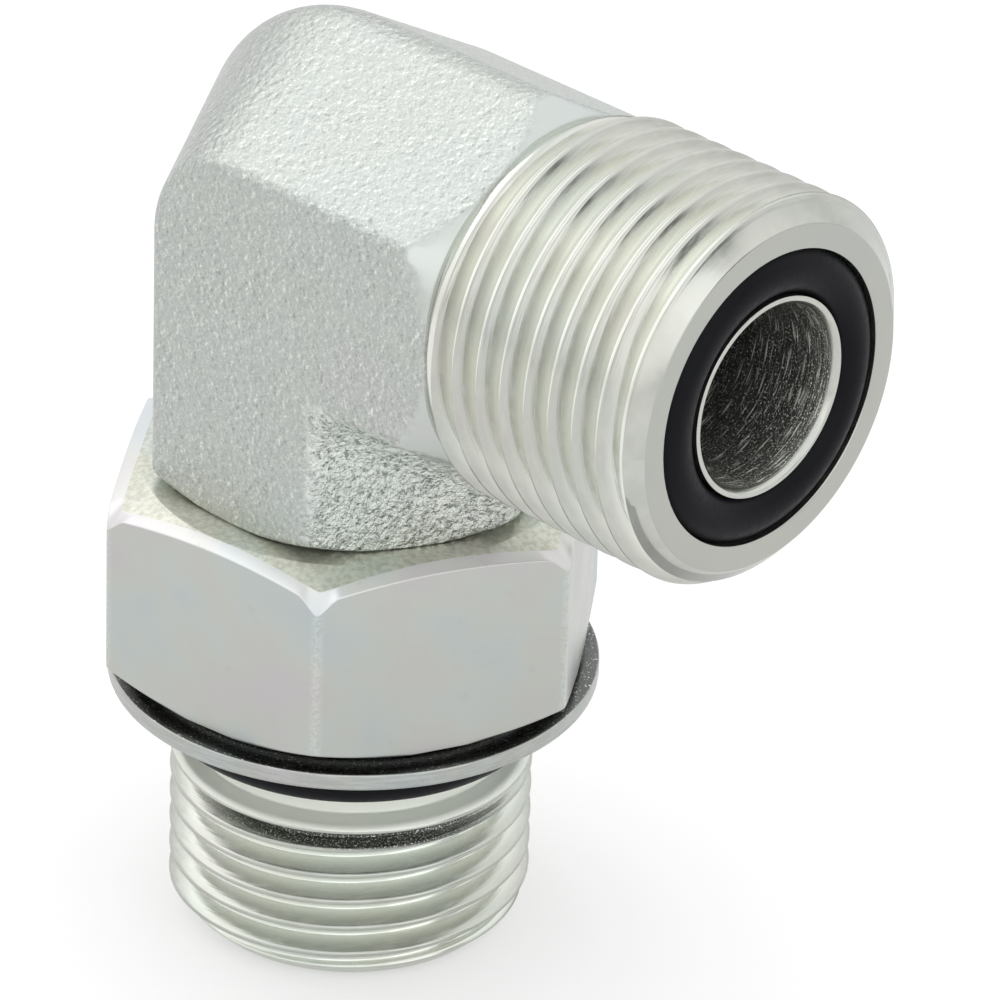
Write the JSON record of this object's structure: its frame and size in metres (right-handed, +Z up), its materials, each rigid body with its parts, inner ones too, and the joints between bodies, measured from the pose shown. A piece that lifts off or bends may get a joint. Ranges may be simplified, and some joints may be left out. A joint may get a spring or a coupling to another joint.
{
  "type": "hydraulic elbow adapter",
  "caption": "Right-angle steel hydraulic adapter: hexagonal forged elbow with a threaded face-seal end and an adjustable port stud carrying a lock nut, backup washer and O-ring.",
  "frame": {"origin": "middle of the footprint, at the bottom of the port stud, which the part stands on", "axes": "+Z up along the port stud, +X out of the face-seal end, +Y to the left of the face-seal end"},
  "size_m": [0.0416, 0.0256, 0.0514],
  "materials": {
    "body_zinc": "zinc plate over shot-blasted forging, satin on the turned threads",
    "nut_zinc": "smooth zinc plate with a faint iridescent tint",
    "washer_zinc": "smooth zinc plate",
    "nitrile": "semi-gloss black nitrile"
  },
  "bodies": {
    "elbow": {"elbow_body": "body_zinc", "face_o_ring": "nitrile"},
    "washer_set": {"backup_washer": "washer_zinc", "port_o_ring": "nitrile"},
    "nut": {"lock_nut": "nut_zinc"}
  },
  "joints": [
    {"name": "nut_travel", "type": "slide", "parent": "elbow", "child": "washer_set", "axis": [0, 0, 1], "range_m": [-0.00159, 0]},
    {"name": "nut_turn", "type": "hinge", "parent": "washer_set", "child": "nut", "pos_m": [-0.00708, 0, 0.01536], "axis": [0, 0, 1], "range_deg": [-360, 0]}
  ],
  "couplings": [
    {"joint": "nut_travel", "follows": "nut_turn", "m_per_rad": 0.00025266}
  ]
}
